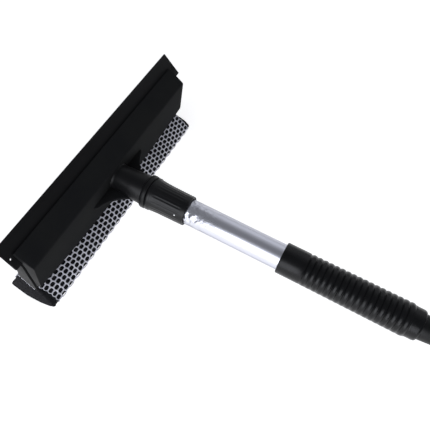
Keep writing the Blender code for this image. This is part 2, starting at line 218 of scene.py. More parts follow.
# The studio, in metres. The camera's place is in millimetres about the handle's axis, and
# its angles are in degrees.
LIGHT_COLOUR = (0.92, 0.94, 1.0)
WORLD_STRENGTH = 0.19
FLOOR_SIZE = 4.0
FLOOR_DROP = 0.0005
CAMERA_PLACE = (186.8, 157.95, 343.4)
CAMERA_ANGLES = (31.019, -3.951, 117.97)
CAMERA_LENS = 44.33


# ---------------------------------------------------------------- shapes

def place(x, y, z):
    """A point about the handle's axis, in millimetres, as a world position."""
    return AXIS + Vector((x, y, z)) * MM


def finish_piece(name, mesh_data, material, body, nodes=(), sharp=SHARP_ANGLE):
    """Makes a bmesh an object, gives it its finish, and hangs it on its body."""
    bmesh.ops.recalc_face_normals(mesh_data, faces=mesh_data.faces)
    mesh = bpy.data.meshes.new(name)
    mesh_data.to_mesh(mesh)
    mesh_data.free()
    mesh.shade_smooth()
    if sharp:
        mesh.set_sharp_from_angle(angle=sharp)
    mesh.materials.append(material)
    piece = bpy.data.objects.new(name, mesh)
    bpy.context.scene.collection.objects.link(piece)
    if nodes:
        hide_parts(*nodes)
    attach(piece, body)
    return piece


def join_rings(mesh_data, rings, closed=False):
    """Joins each ring of vertices to the next with a band of faces."""
    pairs = list(zip(rings, rings[1:]))
    if closed:
        pairs.append((rings[-1], rings[0]))
    for first, second in pairs:
        count = len(first)
        for index in range(count):
            after = (index + 1) % count
            mesh_data.faces.new((first[index], first[after], second[after], second[index]))


def cap_ends(mesh_data, rings):
    """Closes the first and the last ring with one face each."""
    mesh_data.faces.new(rings[0])
    mesh_data.faces.new(rings[-1])


def rounded(corners, steps=6):
    """Turns (y, z, radius) corners into an outline with an arc at each corner."""
    outline = []
    count = len(corners)
    for index, (y, z, radius) in enumerate(corners):
        here = Vector((y, z))
        back = (Vector(corners[index - 1][:2]) - here).normalized()
        ahead = (Vector(corners[(index + 1) % count][:2]) - here).normalized()
        half = back.angle(ahead) / 2.0
        centre = here + (back + ahead).normalized() * radius / math.sin(half)
        start = here + back * radius / math.tan(half) - centre
        end = here + ahead * radius / math.tan(half) - centre
        turn = start.angle_signed(end)
        for step in range(steps + 1):
            spoke = start.copy()
            spoke.rotate(Matrix.Rotation(-turn * step / steps, 2))
            outline.append(centre + spoke)
    return outline


def turned(profile, sides=ROUND_SIDES, hollow=True, radius_at=None):
    """A bmesh of a (station, radius) profile turned about the handle's axis.

    A hollow profile is a closed loop, and a solid one is capped at both ends. radius_at
    changes a radius by the station and the angle round the axis.
    """
    mesh_data = bmesh.new()
    rings = []
    for station, radius in profile:
        ring = []
        for side in range(sides):
            angle = FULL_TURN * side / sides
            reach = radius_at(station, angle, radius) if radius_at else radius
            ring.append(mesh_data.verts.new(
                place(reach * math.cos(angle), station, reach * math.sin(angle))))
        rings.append(ring)
    join_rings(mesh_data, rings, closed=hollow)
    if not hollow:
        cap_ends(mesh_data, rings)
    return mesh_data


def rod(start, end, radii, sides=32):
    """A bmesh of a round rod: radii are (share of the length, radius) from start to end."""
    mesh_data = bmesh.new()
    start = Vector(start)
    axis = Vector(end) - start
    turn = axis.to_track_quat("Z", "Y").to_matrix()
    rings = []
    for share, radius in radii:
        ring = []
        for side in range(sides):
            angle = FULL_TURN * side / sides
            spoke = turn @ Vector((radius * math.cos(angle), radius * math.sin(angle), 0.0))
            ring.append(mesh_data.verts.new(place(*(start + axis * share + spoke))))
        rings.append(ring)
    join_rings(mesh_data, rings)
    cap_ends(mesh_data, rings)
    return mesh_data


def apply_modifiers(piece):
    """Bakes a piece's modifiers into its mesh."""
    graph = bpy.context.evaluated_depsgraph_get()
    graph.update()
    mesh = bpy.data.meshes.new_from_object(piece.evaluated_get(graph))
    piece.modifiers.clear()
    piece.data = mesh


def shade(piece):
    """Smooth shading, with the sharp edges kept."""
    piece.data.shade_smooth()
    piece.data.set_sharp_from_angle(angle=SHARP_ANGLE)


def soften(piece, width):
    """Rounds a piece's sharp edges by a small bevel."""
    bevel = piece.modifiers.new("soft_edges", "BEVEL")
    bevel.width = width * MM
    bevel.segments = 3
    bevel.limit_method = "ANGLE"
    bevel.angle_limit = BEVEL_ANGLE
    apply_modifiers(piece)
    shade(piece)


def cut(piece, tool_mesh):
    """Cuts a bmesh tool out of a piece."""
    mesh = bpy.data.meshes.new("tool")
    bmesh.ops.recalc_face_normals(tool_mesh, faces=tool_mesh.faces)
    tool_mesh.to_mesh(mesh)
    tool_mesh.free()
    tool = bpy.data.objects.new("tool", mesh)
    bpy.context.scene.collection.objects.link(tool)
    boolean = piece.modifiers.new("cut", "BOOLEAN")
    boolean.operation = "DIFFERENCE"
    boolean.solver = "EXACT"
    boolean.object = tool
    apply_modifiers(piece)
    bpy.data.objects.remove(tool, do_unlink=True)


def ease(share):
    """A smooth step: 0 up to a share of 0, and 1 from a share of 1."""
    share = min(max(share, 0.0), 1.0)
    return share * share * (3.0 - 2.0 * share)


# ---------------------------------------------------------------- materials

class Nodes:
    """A short way to add and join shader nodes."""

    def __init__(self, name):
        self.material = bpy.data.materials.new(name)
        self.material.use_nodes = True
        self.tree = self.material.node_tree
        self.shader = self.tree.nodes["Principled BSDF"]

    def add(self, kind, **inputs):
        """A new node, with its inputs by name."""
        node = self.tree.nodes.new(kind)
        for key, value in inputs.items():
            self.set(node.inputs[key.replace("_", " ")], value)
        return node

    def set(self, socket, value):
        """Links a socket to another one, or gives it a plain value."""
        if isinstance(value, bpy.types.NodeSocket):
            self.tree.links.new(value, socket)
        else:
            socket.default_value = value

    def coordinates(self, stretch=(1.0, 1.0, 1.0)):
        """Positions in the object's own space, in metres, stretched along its axes."""
        source = self.add("ShaderNodeTexCoord")
        mapping = self.add("ShaderNodeMapping", Vector=source.outputs["Object"], Scale=stretch)
        return mapping.outputs["Vector"]

    def noise(self, scale, detail=4.0, roughness=0.55, stretch=(1.0, 1.0, 1.0)):
        """Noise with a number of cells to the metre."""
        node = self.add("ShaderNodeTexNoise", Vector=self.coordinates(stretch), Scale=scale,
                        Detail=detail, Roughness=roughness)
        return node.outputs["Fac"]

    def span(self, value, low, high, from_low=0.3, from_high=0.7):
        """Maps a value's range to the range from low to high."""
        node = self.add("ShaderNodeMapRange", Value=value)
        node.inputs["From Min"].default_value = from_low
        node.inputs["From Max"].default_value = from_high
        node.inputs["To Min"].default_value = low
        node.inputs["To Max"].default_value = high
        return node.outputs["Result"]

    def blend(self, factor, first, second):
        """A colour between two. A mix node's colours are its inputs 6 and 7, and output 2."""
        node = self.tree.nodes.new("ShaderNodeMix")
        node.data_type = "RGBA"
        self.set(node.inputs[0], factor)
        self.set(node.inputs[6], (*first, 1.0))
        self.set(node.inputs[7], (*second, 1.0))
        return node.outputs[2]

    def bump(self, height, strength, distance, after=None):
        """A bumpy normal, laid over an earlier one if there is one."""
        node = self.add("ShaderNodeBump", Height=height, Strength=strength, Distance=distance)
        if after:
            self.set(node.inputs["Normal"], after)
        return node.outputs["Normal"]

    def finish(self, **inputs):
        """Sets the shader's inputs, and gives the material."""
        for key, value in inputs.items():
            self.set(self.shader.inputs[key.replace("_", " ")], value)
        return self.material


def moulded_plastic(name, dark, pale, rough, shine):
    """Black moulded plastic: fine spark-eroded grain, with faint flow patches."""
    n = Nodes(name)
    patches = n.noise(38.0, detail=3.0)
    grain = n.noise(2600.0, detail=2.0, roughness=0.7)
    waves = n.noise(55.0, detail=2.0, stretch=(0.25, 1.0, 1.0))
    fine = n.bump(grain, strength=0.12, distance=0.00006)
    return n.finish(
        Base_Color=n.blend(n.span(patches, 0.0, 1.0), dark, pale),
        Roughness=n.span(patches, rough - 0.05, rough + 0.05),
        Specular_IOR_Level=shine,
        Normal=n.bump(waves, strength=0.08, distance=0.0006, after=fine),
    )


def rubber(name, dark, pale, rough, shine, grain):
    """Soft black rubber: a dull skin with fine speckle and dusty patches."""
    n = Nodes(name)
    dust = n.noise(60.0, detail=6.0, roughness=0.65)
    speckle = n.noise(1800.0, detail=3.0, roughness=0.7)
    return n.finish(
        Base_Color=n.blend(n.span(dust, 0.0, 1.0, 0.4, 0.75), dark, pale),
        Roughness=n.span(dust, rough - 0.04, rough + 0.07),
        Specular_IOR_Level=shine,
        Normal=n.bump(speckle, strength=grain, distance=0.00008),
    )


def drawn_aluminium(name):
    """Satin aluminium with faint draw lines, and uneven where it is handled by the sleeve."""
    n = Nodes(name)
    lines = n.noise(1.0, detail=3.0, roughness=0.6, stretch=(900.0, 12.0, 900.0))
    clouds = n.noise(30.0, detail=4.0)
    smudges = n.noise(300.0, detail=2.0, stretch=(1.0, 0.7, 1.0))
    along = n.add("ShaderNodeSeparateXYZ", Vector=n.coordinates()).outputs["Y"]
    handled = n.span(along, 0.55, 0.0, HANDLED_FROM, HANDLED_TO)
    waves = n.bump(smudges, strength=handled, distance=0.002)
    return n.finish(
        Metallic=1.0,
        Base_Color=n.blend(n.span(clouds, 0.0, 1.0), (0.77, 0.78, 0.86), (0.83, 0.84, 0.91)),
        Roughness=n.span(lines, 0.27, 0.35),
        Specular_Tint=(0.36, 0.36, 0.38, 1.0),
        Normal=n.bump(lines, strength=0.05, distance=0.00004, after=waves),
    )


def plain_steel(name):
    """Bright steel with fine scuffs."""
    n = Nodes(name)
    scuffs = n.noise(700.0, detail=5.0, roughness=0.7)
    return n.finish(
        Metallic=1.0,
        Base_Color=n.blend(n.span(scuffs, 0.0, 1.0), (0.56, 0.56, 0.57), (0.68, 0.68, 0.69)),
        Roughness=n.span(scuffs, 0.22, 0.36),
        Normal=n.bump(scuffs, strength=0.1, distance=0.00003),
    )


def open_foam(name):
    """Charcoal foam: small open pores of two sizes, each darker in its middle as painted shade
    inside the pore.
    """
    n = Nodes(name)
    where = n.coordinates()
    pores = n.add("ShaderNodeTexVoronoi", Vector=where, Scale=640.0)
    pits = n.add("ShaderNodeTexVoronoi", Vector=where, Scale=1500.0)
    depth = n.add("ShaderNodeMath")
    depth.operation = "ADD"
    n.set(depth.inputs[0], pores.outputs["Distance"])
    n.set(depth.inputs[1], pits.outputs["Distance"])
    # Dark in each pore's middle and pale on its walls: painted shade inside the pores, also used
    # for the bumps and the roughness.
    walls_and_pore_shade = n.span(depth.outputs["Value"], 0.0, 1.0, 0.35, 1.05)
    return n.finish(
        Base_Color=n.blend(walls_and_pore_shade, (0.002, 0.002, 0.003), (0.021, 0.021, 0.023)),
        Roughness=n.span(walls_and_pore_shade, 0.85, 0.98, 0.0, 1.0),
        Specular_IOR_Level=0.08,
        Normal=n.bump(walls_and_pore_shade, strength=0.7, distance=0.0004),
    )


def knitted_thread(name):
    """Pale grey yarn: fine filaments and slightly uneven dye."""
    n = Nodes(name)
    filaments = n.noise(1.0, detail=3.0, stretch=(2600.0, 2600.0, 900.0))
    dye = n.noise(90.0, detail=4.0)
    return n.finish(
        Base_Color=n.blend(n.span(dye, 0.0, 1.0), (0.68, 0.68, 0.75), (0.86, 0.86, 0.93)),
        Roughness=0.75,
        Sheen_Weight=0.15,
        Normal=n.bump(filaments, strength=0.5, distance=0.00012),
    )


PLATE_PLASTIC = moulded_plastic(
    "plate_plastic_fine", dark=(0.0134, 0.0140, 0.0151), pale=(0.0172, 0.0178, 0.0178),
    rough=0.80, shine=0.03)
PLASTIC = moulded_plastic(
    "black_plastic_fine", dark=(0.0048, 0.0050, 0.0056), pale=(0.0066, 0.0068, 0.0074),
    rough=0.38, shine=0.25)
SATIN = moulded_plastic(
    "satin_plastic_fine", dark=(0.0050, 0.0052, 0.0060), pale=(0.0072, 0.0074, 0.0084),
    rough=0.30, shine=0.30)
# A paler copy of the black plastic for the bars' end faces: painted light on the faces that turn
# towards the side lamps.
PAINTED_LIGHT_END_PLASTIC = moulded_plastic(
    "end_plastic_painted_light", dark=(0.0085, 0.0087, 0.0092), pale=(0.0130, 0.0133, 0.0138),
    rough=0.55, shine=0.14)
BLADE_RUBBER = rubber(
    "blade_rubber_fine", dark=(0.0038, 0.0038, 0.0043), pale=(0.0060, 0.0060, 0.0067),
    rough=0.62, shine=0.20, grain=0.2)
GRIP_RUBBER = rubber(
    "grip_rubber_fine", dark=(0.0040, 0.0042, 0.0049), pale=(0.0056, 0.0058, 0.0068),
    rough=0.27, shine=0.27, grain=0.12)
FOAM = open_foam("foam_fine")
THREAD = knitted_thread("net_fine")
ALUMINIUM = drawn_aluminium("aluminium_fine")
STEEL = plain_steel("steel_fine")


# ---------------------------------------------------------------- head

def cover_foot(x):
    """The height of the cover's foot along the head: an arch, lowest in the middle."""
    return COVER_FOOT[1] + FOOT_RISE * (abs(x) / HALF_HEAD) ** 2


def cover_corners(foot_z):
    """The bent cover's corners at one place along the head, with its foot at foot_z.

    The outer face comes first, with three corners. The cover is thin over the rubber, and
    thick behind the ridge, where it is screwed.
    """
    ridge = Vector(RIDGE)
    leg = (Vector(COVER_FOOT) - ridge).normalized()
    foot = ridge + leg * (ridge.y - foot_z) / -leg.y
    outer = ((*LIP, LIP_ROUND), (*RIDGE, RIDGE_ROUND), (*foot, FOOT_ROUND))
    return [*outer, (FOOT_INSIDE, foot.y, FOOT_ROUND), *COVER_INSIDE]


def make_cover_plate():
    """The cover's bent plate. Its ends slope, so that the inner face is the longer one."""
    columns = [HALF_HEAD * (2.0 * step / COVER_STEPS - 1.0) for step in range(COVER_STEPS + 1)]
    mesh_data = bmesh.new()
    rings = []
    for x in columns:
        corners = cover_corners(cover_foot(x))
        section = rounded(corners)
        inner_from = 3 * len(section) // len(corners)
        ring = []
        for index, (y, z) in enumerate(section):
            reach = x
            if abs(x) == HALF_HEAD and index >= inner_from:
                reach = math.copysign(HALF_HEAD + END_BEVEL, x)
            ring.append(mesh_data.verts.new(place(reach, y, z)))
        rings.append(ring)
    join_rings(mesh_data, rings)
    cap_ends(mesh_data, rings)
    return mesh_data


def make_neck():
    """The neck, with a fillet where it leaves the plate and a bore at its end."""
    fillet = []
    for step in range(FILLET_STEPS + 1):
        angle = math.radians(90.0 * step / FILLET_STEPS)
        fillet.append((FILLET_START + FILLET_LENGTH * (1.0 - math.cos(angle)),
                       NECK_FOOT_RADIUS - FILLET_DEPTH * math.sin(angle)))
    return turned([
        (-2.2, 9.0), (-2.2, NECK_FOOT_RADIUS), *fillet, (6.0, 10.6), (14.0, 11.2),
        (25.2, 11.95), (26.0, 11.6), (26.0, 10.4), (23.2, 10.4), (23.2, NECK_BORE),
        (4.0, NECK_BORE), (4.0, 0.4), (-1.9, 0.4),
    ])


def make_web(side):
    """A flat gusset with a hollow front edge, from the facet to the neck."""
    foot = Vector(WEB_FOOT)
    span = Vector(WEB_TOP) - foot
    inward = Vector((span.y, -span.x)).normalized() * -WEB_SAG
    outline = [(side * WEB_ROOT[0], WEB_ROOT[1]), (side * (foot.x + WEB_TOE), WEB_ROOT[1])]
    for step in range(WEB_STEPS + 1):
        share = step / WEB_STEPS
        spot = foot + span * share + inward * 4.0 * share * (1.0 - share)
        outline.append((side * spot.x, spot.y))
    outline.append((side * WEB_ROOT[0], WEB_TOP[1]))
    mesh_data = bmesh.new()
    rings = [[mesh_data.verts.new(place(x, y, z)) for x, y in outline] for z in WEB_Z]
    join_rings(mesh_data, rings)
    cap_ends(mesh_data, rings)
    return mesh_data


def paint_light_on_ends(piece):
    """Gives the faces at a moulded bar's two ends a slightly paler plastic: painted light, for
    the lit look of the end faces that turn towards the side lamps.
    """
    piece.data.materials.append(PAINTED_LIGHT_END_PLASTIC)
    for face in piece.data.polygons:
        if abs(face.normal.x) > END_FACING:
            face.material_index = 1


def make_cover():
    """The cover's plate, neck and two webs."""
    plate = finish_piece("cover_fine", make_cover_plate(), PLATE_PLASTIC, "head",
                         ["head_cover"])
    soften(plate, COVER_EDGE)
    paint_light_on_ends(plate)
    finish_piece("neck_fine", make_neck(), PLASTIC, "head")
    for side, name in ((1.0, "web_left"), (-1.0, "web_right")):
        web = finish_piece(name, make_web(side), PLATE_PLASTIC, "head")
        soften(web, WEB_EDGE)


def soft_copy(node, name, material, width):
    """A CAD node's shape with its flat faces cleaned up and its edges rounded."""
    mesh_data = bmesh.new()
    mesh_data.from_mesh(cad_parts[node].data)
    bmesh.ops.remove_doubles(mesh_data, verts=mesh_data.verts, dist=1e-6)
    bmesh.ops.dissolve_limit(mesh_data, angle_limit=math.radians(1.0), verts=mesh_data.verts,
                             edges=mesh_data.edges)
    piece = finish_piece(name, mesh_data, material, "head", [node])
    soften(piece, width)
    return piece


# ---------------------------------------------------------------- sponge and net

def inset(corners, distance, least_radius=0.4):
    """Moves every side of a rounded outline inwards by one distance."""
    count = len(corners)
    middle = sum((Vector(corner[:2]) for corner in corners), Vector((0.0, 0.0))) / count
    sides = []
    for index in range(count):
        start = Vector(corners[index][:2])
        along = (Vector(corners[(index + 1) % count][:2]) - start).normalized()
        normal = Vector((-along.y, along.x))
        if normal.dot(middle - start) < 0:
            normal.negate()
        sides.append((start + normal * distance, along, normal))
    moved = []
    for index in range(count):
        start_a, along_a, _ = sides[index - 1]
        start_b, _, normal_b = sides[index]
        reach = (start_b - start_a).dot(normal_b) / along_a.dot(normal_b)
        corner = start_a + along_a * reach
        moved.append((corner.x, corner.y, max(corners[index][2] - distance, least_radius)))
    return moved


class Loop:
    """A closed outline measured by length from its seam, in the middle of its last side."""

    def __init__(self, corners):
        seam = (Vector(corners[-1][:2]) + Vector(corners[0][:2])) / 2.0
        self.points = [seam, *rounded(corners, steps=8), seam]
        self.lengths = [0.0]
        for first, second in zip(self.points, self.points[1:]):
            self.lengths.append(self.lengths[-1] + (second - first).length)
        self.total = self.lengths[-1]

    def at(self, length):
        """The point at a length from the seam, and the outward normal there."""
        length = min(max(length, 0.0), self.total)
        index = 0
        while index < len(self.lengths) - 2 and self.lengths[index + 1] < length:
            index += 1
        first, second = self.points[index], self.points[index + 1]
        step = second - first
        share = (length - self.lengths[index]) / max(step.length, 1e-9)
        along = step.normalized()
        return first + step * share, Vector((along.y, -along.x))

    def smooth(self, length, reach=0.6):
        """As at, with the normal averaged over a short stretch."""
        spot, _ = self.at(length)
        normal = Vector((0.0, 0.0))
        for shift in (-1.0, -0.5, 0.0, 0.5, 1.0):
            normal += self.at(length + shift * reach)[1]
        return spot, normal.normalized()


NET_LOOP = Loop(inset(NET_OUTLINE, NET_SINK))


def from_row(length, column):
    """How far a length is from the nearest cell centre of its column."""
    shift = 0.5 * (column % 2)
    row = round(length / CELL_PITCH - shift)
    return length - (row + shift) * CELL_PITCH


def puff(length, x):
    """How much the foam swells at a place: most in the middle of a cell of the net."""
    middle = round((x - COLUMN_PHASE) / COLUMN_PITCH)
    distances = []
    for column in (middle - 1, middle, middle + 1):
        across = (x - COLUMN_PHASE - column * COLUMN_PITCH) / (COLUMN_PITCH * 0.5)
        along = from_row(length, column) / (CELL_PITCH * 0.5)
        distances.append(math.hypot(across, along))
    return ease(1.0 - min(distances) * PUFF_REACH)


def plate_side():
    """The two ends of the net's side that lies on the clamp plate."""
    return Vector(NET_OUTLINE[0][:2]), Vector(NET_OUTLINE[-1][:2])


def from_plate(y, z):
    """How far a place is from the side that lies on the clamp plate."""
    first, last = plate_side()
    side = last - first
    spot = Vector((y, z)) - first
    share = min(max(spot.dot(side) / side.length_squared, 0.0), 1.0)
    return (spot - side * share).length


def end_bulge(x, y, z):
    """How far the foam's free part swells past the length that the plate holds."""
    near_end = ease((abs(x) - BULGE_FROM) / (HALF_SPONGE - BULGE_FROM))
    return math.copysign(END_BULGE * near_end * ease(from_plate(y, z) / BULGE_DEPTH), x)


def foam_ring(mesh_data, spots, x, inward, puffed):
    """One ring of the foam's skin, moved in from its outline, with the cells puffed or not."""
    made = []
    for index, (spot, normal) in enumerate(spots):
        length = NET_LOOP.total * index / len(spots)
        out = -inward
        if puffed and abs(x) < HALF_NET:
            out += FOAM_PUFF * puff(length, x)
        elif puffed:
            out += RIM_PUFF
        patch = Vector((x * UNEVEN_SCALE, spot.x * UNEVEN_SCALE, spot.y * UNEVEN_SCALE))
        out += FOAM_UNEVEN * noise.noise(patch)
        y, z = spot + normal * out
        made.append(mesh_data.verts.new(place(x + end_bulge(x, y, z), y, z)))
    return made


def foam_end(mesh_data, spots, middle, side):
    """The rings of one end: three round its rim, and the rest over its rough cut face."""
    made = []
    for step in range(1, 4):
        turn = math.radians(30.0 * step)
        x = side * (HALF_SPONGE - FOAM_RIM + FOAM_RIM * math.sin(turn))
        inward = FOAM_RIM * (1.0 - math.cos(turn)) - RIM_PUFF
        made.append(foam_ring(mesh_data, spots, x, inward, False))
    for step in range(1, END_RINGS):
        share = 1.0 - step / END_RINGS
        scaled = []
        for spot, normal in spots:
            y, z = middle + (spot - normal * (FOAM_RIM - FOAM_PUFF) - middle) * share
            patch = Vector((side * CUT_SPREAD, y * CUT_SCALE, z * CUT_SCALE))
            rough = CUT_ROUGH * noise.noise(patch) - CUT_SINK
            x = side * (HALF_SPONGE + rough)
            scaled.append(mesh_data.verts.new(place(x + end_bulge(x, y, z), y, z)))
        made.append(scaled)
    return made


def make_foam():
    """The foam block, pillowed through the net's cells, with rough cut ends."""
    loop = Loop(inset(NET_OUTLINE, FOAM_SINK))
    around = round(loop.total / FOAM_STEP)
    along = round(2.0 * (HALF_SPONGE - FOAM_RIM) / FOAM_STEP)
    middle = sum(loop.points[1:], Vector((0.0, 0.0))) / (len(loop.points) - 1)
    spots = [loop.smooth(loop.total * index / around) for index in range(around)]
    mesh_data = bmesh.new()
    body = []
    for step in range(along + 1):
        x = (HALF_SPONGE - FOAM_RIM) * (2.0 * step / along - 1.0)
        body.append(foam_ring(mesh_data, spots, x, 0.0, True))
    first_end = foam_end(mesh_data, spots, middle, -1.0)
    last_end = foam_end(mesh_data, spots, middle, 1.0)
    rings = [*reversed(first_end), *body, *last_end]
    join_rings(mesh_data, rings)
    cap_ends(mesh_data, rings)
    foam = finish_piece("foam_fine_piece", mesh_data, FOAM, "head", ["sponge"],
                        sharp=None)
    return foam


def add_cell(mesh_data, x, length):
    """One six-sided cell: a ring from its border, which is the thread's crown, to its hole."""
    half_x = COLUMN_PITCH / 2.0
    half_u = CELL_PITCH / 2.0
    tip = (half_x * half_x * 2.0 + half_u * half_u * 0.5) / (half_x * 2.0)
    flat = half_x * 2.0 - tip
    corners = [(tip, 0.0), (flat, half_u), (-flat, half_u), (-tip, 0.0), (-flat, -half_u),
               (flat, -half_u)]
    border = []
    for index, corner in enumerate(corners):
        after = corners[(index + 1) % len(corners)]
        border.append(corner)
        border.append(((corner[0] + after[0]) / 2.0, (corner[1] + after[1]) / 2.0))
    rings = []
    for share, crown in CELL_RINGS:
        ring = []
        for across, along in border:
            turn = math.atan2(along / HOLE_HALF[1], across / HOLE_HALF[0])
            rim_x = 0.5 * HOLE_HALF[0] * math.cos(turn) + 0.5 * across * HOLE_SHARE
            rim_u = 0.5 * HOLE_HALF[1] * math.sin(turn) + 0.5 * along * HOLE_SHARE
            dx = across + (rim_x - across) * share
            du = along + (rim_u - along) * share
            spot, normal = NET_LOOP.smooth(length + du)
            y, z = spot + normal * (THREAD_CROWN * crown)
            slip = 1.0 + END_SLIP * end_slip(length + du)
            ring.append(mesh_data.verts.new(place((x + dx) * slip, y, z)))
        rings.append(ring)
    join_rings(mesh_data, rings)


def end_slip(length):
    """How far the net has crept towards the ends: most beside the seam, under the plate."""
    from_seam = min(length, NET_LOOP.total - length)
    return ease(1.0 - from_seam / SLIP_REACH)


def make_net():
    """The knitted net: a sheet of six-sided cells, each with a round hole."""
    mesh_data = bmesh.new()
    for column in range(FIRST_COLUMN, LAST_COLUMN + 1):
        x = COLUMN_PHASE + column * COLUMN_PITCH
        shift = 0.5 * (column % 2)
        row = math.ceil(NET_SEAM / CELL_PITCH - shift)
        while (row + shift) * CELL_PITCH < NET_LOOP.total - NET_SEAM:
            add_cell(mesh_data, x, (row + shift) * CELL_PITCH)
            row += 1
    bmesh.ops.remove_doubles(mesh_data, verts=mesh_data.verts, dist=WELD_DISTANCE * MM)
    net = finish_piece("net_fine_piece", mesh_data, THREAD, "head", ["sponge_net"],
                       sharp=None)
    solid = net.modifiers.new("thread", "SOLIDIFY")
    solid.thickness = THREAD_THICK * MM
    solid.offset = 1.0
    apply_modifiers(net)
    net.data.shade_smooth()
    hems = [make_hem(1.0, "net_hem_left"), make_hem(-1.0, "net_hem_right")]


def make_hem(side, name):
    """The net's gathered end: a knotty thread on the foam's end, along the plate's edge."""
    first, last = plate_side()
    along = (last - first).normalized()
    inward = Vector((along.y, -along.x))
    if inward.dot(Vector(NET_OUTLINE[2][:2]) - first) < 0:
        inward.negate()
    start, end = HEM_SPAN
    steps = round((end - start) / HEM_STITCH * STITCH_STEPS)
    mesh_data = bmesh.new()
    rings = []
    for step in range(steps + 1):
        share = step / steps
        swing = math.sin(FULL_TURN * step / STITCH_STEPS)
        wander = HEM_WANDER * noise.noise(Vector((share * 7.0, side, 0.0)))
        depth = HEM_DEPTH + HEM_SWING * swing + wander
        spot = first + along * (start + (end - start) * share) + inward * depth
        radius = HEM_RADIUS * (HEM_THIN + HEM_KNOT * abs(swing))
        lift = HEM_LIFT * noise.noise(Vector((share * 23.0, side, 5.0))) - HEM_DIP
        ring = []
        for corner in range(HEM_SIDES):
            angle = FULL_TURN * corner / HEM_SIDES
            y, z = spot + inward * radius * math.cos(angle)
            x = side * (HALF_SPONGE - HEM_SINK + lift + radius * math.sin(angle))
            ring.append(mesh_data.verts.new(place(x + end_bulge(x, y, z), y, z)))
        rings.append(ring)
    join_rings(mesh_data, rings)
    cap_ends(mesh_data, rings)
    return finish_piece(name, mesh_data, THREAD, "head", sharp=None)


# ---------------------------------------------------------------- handle

def make_neck_ring():
    """The flanged ring on the neck's end."""
    profile = [
        (23.4, 8.35), (23.4, 10.2), (26.3, 10.2), (26.3, 12.7), (26.6, 13.2), (27.2, 13.5),
        (29.6, 13.5), (30.2, 13.3), (30.6, 12.8), (30.6, 8.35),
    ]
    finish_piece("ring_fine", turned(profile), PLASTIC, "head", ["neck_ring"])


def make_lock_sleeve():
    """The twist sleeve: a plain collar, a tapering body with flutes, and a round rear rim."""
    outside = [(31.0, 12.6), (31.2, 13.0), (31.7, 13.2), (33.4, 13.2), (33.9, 13.0),
               (SLEEVE_START, SLEEVE_RADIUS)]
    for step in range(1, SLEEVE_STEPS):
        station = SLEEVE_START + SLEEVE_LENGTH * step / SLEEVE_STEPS
        waist = SLEEVE_WAIST * ease((station - SLEEVE_START) / WAIST_LENGTH)
        taper = SLEEVE_TAPER * (station - SLEEVE_START) / SLEEVE_LENGTH
        outside.append((station, SLEEVE_RADIUS - waist - taper))
    outside += [(62.6, 11.9), (63.1, 11.75), (63.3, 11.45)]
    inside = [(63.3, 11.3), (39.5, 11.3), (33.3, 9.35), (33.3, 8.45), (31.0, 8.45)]

    def fluted(station, angle, radius):
        if radius < SLEEVE_SKIN:
            return radius
        strength = ease((station - FLUTE_START) / FLUTE_EASE)
        strength *= ease((FLUTE_END - station) / FLUTE_EASE)
        return radius - FLUTE_DEPTH * strength * (0.5 - 0.5 * math.cos(angle * FLUTE_COUNT))

    sleeve = turned([*outside, *inside], sides=240, radius_at=fluted)
    finish_piece("sleeve_fine", sleeve, SATIN, "lock", ["lock_sleeve"])


def make_sleeve_pin():
    """The small domed pin on the sleeve's side."""
    spoke = Vector((math.cos(PIN_ANGLE), 0.0, math.sin(PIN_ANGLE)))
    base = Vector((0.0, PIN_STATION, 0.0))
    dome = [(0.0, 0.85), (0.72, 0.85), (0.86, 0.72), (0.96, 0.42), (1.0, 0.12)]
    pin = rod(base + spoke * PIN_FOOT, base + spoke * PIN_HEAD, dome)
    finish_piece("pin_fine", pin, STEEL, "lock", ["sleeve_pin"])


def make_tube(name, node, body, front, rear, radius):
    """A tube with its outer rims eased."""
    bore, rim = radius - TUBE_WALL, radius - RIM_EASE
    profile = [(front, bore), (front, rim), (front + 2.0 * RIM_EASE, radius),
               (rear - 2.0 * RIM_EASE, radius), (rear, rim), (rear, bore)]
    finish_piece(name, turned(profile), ALUMINIUM, body, [node])


def make_tubes():
    """The outer tube, and the inner one at the place that its own box gives."""
    make_tube("outer_tube_fine", "outer_tube", "handle", TUBE_FRONT, TUBE_REAR, OUTER_RADIUS)
    low, high = (Vector(corner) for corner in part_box("inner_tube"))
    front, rear = ((corner.y - AXIS.y) / MM for corner in (low, high))
    make_tube("inner_tube_fine", "inner_tube", "head", front, rear, INNER_RADIUS)


def rib_strength(angle):
    """One over the top of the grip, easing to nothing at the spine underneath."""
    from_below = abs((angle + math.pi / 2.0 + math.pi) % FULL_TURN - math.pi)
    return ease((from_below - SPINE_HALF_ANGLE) / SPINE_BLEND)


def make_grip():
    """The rubber grip: a plain collar, round ribs that fade underneath, and a plain tail."""
    last = RIB_START + RIB_COUNT * RIB_PITCH
    profile = [(GRIP_END, GRIP_BORE), (GRIP_START, GRIP_BORE), (GRIP_START, 11.6),
               (GRIP_START + 0.15, 11.95), (GRIP_START + 0.6, COLLAR_RADIUS),
               (150.0, COLLAR_RADIUS), (RIB_START - 1.2, COLLAR_RADIUS),
               (RIB_START - 0.4, COLLAR_RADIUS)]
    steps = RIB_COUNT * RIB_STEPS
    for step in range(steps + 1):
        station = RIB_START + RIB_PITCH * step / RIB_STEPS
        profile.append((station, RIB_RADIUS + RIB_GROWTH * step / steps))
    profile += [(last + 0.5, 12.3), (last + 1.2, 11.75), (last + 2.4, TAIL_RADIUS),
                (245.0, TAIL_RADIUS), (246.0, 11.5), (246.7, 11.2), (GRIP_END, 10.8)]

    def ribbed(station, angle, radius):
        if not RIB_START - 0.5 < station < last + 0.6 or radius < GRIP_SKIN:
            return radius
        share = (station - RIB_START) / RIB_PITCH % 1.0
        crest = math.sin(math.pi * share) ** 0.75 if share > 1e-6 else 0.0
        return radius - RIB_DEPTH * (1.0 - crest) * rib_strength(angle)

    finish_piece("grip_fine", turned(profile, radius_at=ribbed), GRIP_RUBBER,
                 "handle", ["grip"], sharp=GRIP_SHARP_ANGLE)


